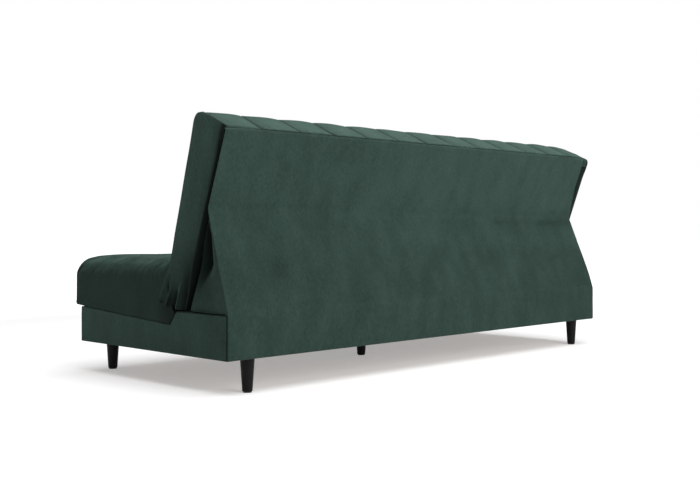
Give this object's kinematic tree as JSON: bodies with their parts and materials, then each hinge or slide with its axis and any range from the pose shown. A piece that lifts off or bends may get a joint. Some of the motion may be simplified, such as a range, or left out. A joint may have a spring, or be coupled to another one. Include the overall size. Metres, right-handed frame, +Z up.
{
  "type": "sofa bed",
  "caption": "Velvet click-clack sofa bed: channelled backrest folds back flat, level seat lifts forward off a bedding box, cloth flap closes the rear, tapered black legs.",
  "frame": {"origin": "on the floor, below the middle of the box round the whole sofa", "axes": "+X along the sofa to a sitter's left, +Y to the rear, +Z up"},
  "size_m": [1.95, 0.83, 0.8151],
  "materials": {
    "velvet": "short-pile velvet",
    "timber": "planed softwood",
    "hardboard": "smooth hardboard",
    "leg_black": "black satin lacquer",
    "glide": "moulded",
    "rubber": "moulded",
    "steel": "black powder coat"
  },
  "bodies": {
    "base": {"base_bottom_board": "hardboard", "base_front_panel": "timber", "base_rear_panel": "timber", "base_side_left": "timber", "base_side_right": "timber", "base_centre_rail": "timber", "mechanism_rail_left": "timber", "mechanism_rail_right": "timber", "leg_blocks": "timber", "leg_front_left": "leg_black", "leg_front_right": "leg_black", "leg_rear_left": "leg_black", "leg_rear_right": "leg_black", "leg_centre": "leg_black", "leg_bolts": "steel", "leg_glides": "glide", "base_cover_front": "velvet", "base_cover_rear": "velvet", "base_cover_left": "velvet", "base_cover_right": "velvet", "rear_flap": "velvet", "lift_plate_left": "steel", "lift_plate_right": "steel", "hinge_bracket_left": "steel", "hinge_bracket_right": "steel", "ratchet_housing_left": "steel", "ratchet_housing_right": "steel", "hinge_pins": "steel", "seat_buffers": "rubber"},
    "rear_arms": {"rear_arm_left": "steel", "rear_arm_right": "steel"},
    "front_arms": {"front_arm_left": "steel", "front_arm_right": "steel"},
    "seat": {"seat_front_rail": "timber", "seat_rear_rail": "timber", "seat_end_rail_left": "timber", "seat_end_rail_right": "timber", "seat_slats": "timber", "seat_end_board_left": "timber", "seat_end_board_right": "timber", "seat_bracket_left": "steel", "seat_bracket_right": "steel", "seat_cushion": "velvet", "seat_border_front": "velvet", "seat_border_left": "velvet", "seat_border_right": "velvet", "seat_tucks": "velvet"},
    "backrest": {"back_bottom_rail": "timber", "back_top_rail": "timber", "back_end_rail_left": "timber", "back_end_rail_right": "timber", "back_slats": "timber", "back_spacers": "timber", "back_arm_left": "steel", "back_arm_right": "steel", "back_end_left": "velvet", "back_end_right": "velvet", "back_pad": "velvet", "back_cloth": "velvet"}
  },
  "joints": [
    {"name": "backrest_recline", "type": "hinge", "parent": "base", "child": "backrest", "pos_m": [0, 0.211, 0.285], "axis": [-1, 0, 0], "range_deg": [0, 74.5], "deforming": ["rear_flap"]},
    {"name": "seat_lift", "type": "hinge", "parent": "base", "child": "rear_arms", "pos_m": [0, -0.12, 0.14], "axis": [1, 0, 0], "range_deg": [0, 75]},
    {"name": "seat_level", "type": "hinge", "parent": "rear_arms", "child": "seat", "pos_m": [0, 0.04915, 0.20156], "axis": [1, 0, 0], "range_deg": [-75, 0], "deforming": ["seat_tucks"]},
    {"name": "front_arm_swing", "type": "hinge", "parent": "base", "child": "front_arms", "pos_m": [0, -0.31965, 0.15176], "axis": [1, 0, 0], "range_deg": [0, 75]}
  ],
  "couplings": [
    {"joint": "seat_level", "follows": "seat_lift", "ratio": -1},
    {"joint": "front_arm_swing", "follows": "seat_lift", "ratio": 1}
  ]
}
